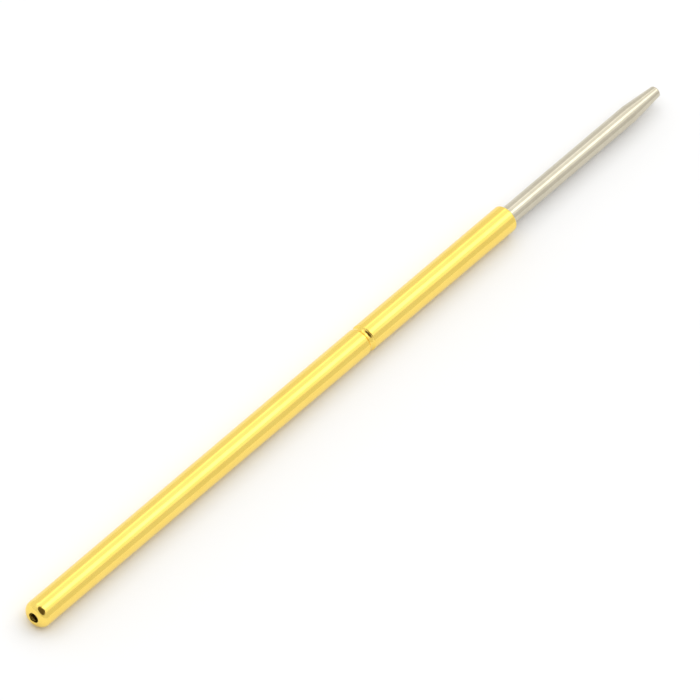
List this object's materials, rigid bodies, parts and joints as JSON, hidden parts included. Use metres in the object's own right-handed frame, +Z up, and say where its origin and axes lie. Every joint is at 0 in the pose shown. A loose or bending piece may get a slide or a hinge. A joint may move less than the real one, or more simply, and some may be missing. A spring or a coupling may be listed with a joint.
{
  "type": "spring-loaded contact pin",
  "caption": "Slim spring-loaded contact pin: a sprung plunger slides in a gilt tube barrel and presses its blunt tip on a test pad or contact.",
  "frame": {"origin": "on the barrel's axis, where its straight outer wall starts just behind the rounded mouth", "axes": "+X along the pin from the contact tip towards the barrel's closed end, +Z up from the surface that the pin lies along"},
  "size_m": [0.0333, 0.001, 0.001],
  "materials": {
    "barrel": "polished gold plating over a drawn brass tube",
    "plunger": "turned steel with bright nickel plating",
    "spring": "plain music wire"
  },
  "bodies": {
    "barrel": {"barrel": "barrel", "spring": "spring"},
    "plunger": {"plunger": "plunger"}
  },
  "joints": [
    {"name": "plunger_slide", "type": "slide", "parent": "barrel", "child": "plunger", "axis": [1, 0, 0], "range_m": [0, 0.00635], "stiffness_N_per_m": 317, "deforming": ["spring"]}
  ]
}
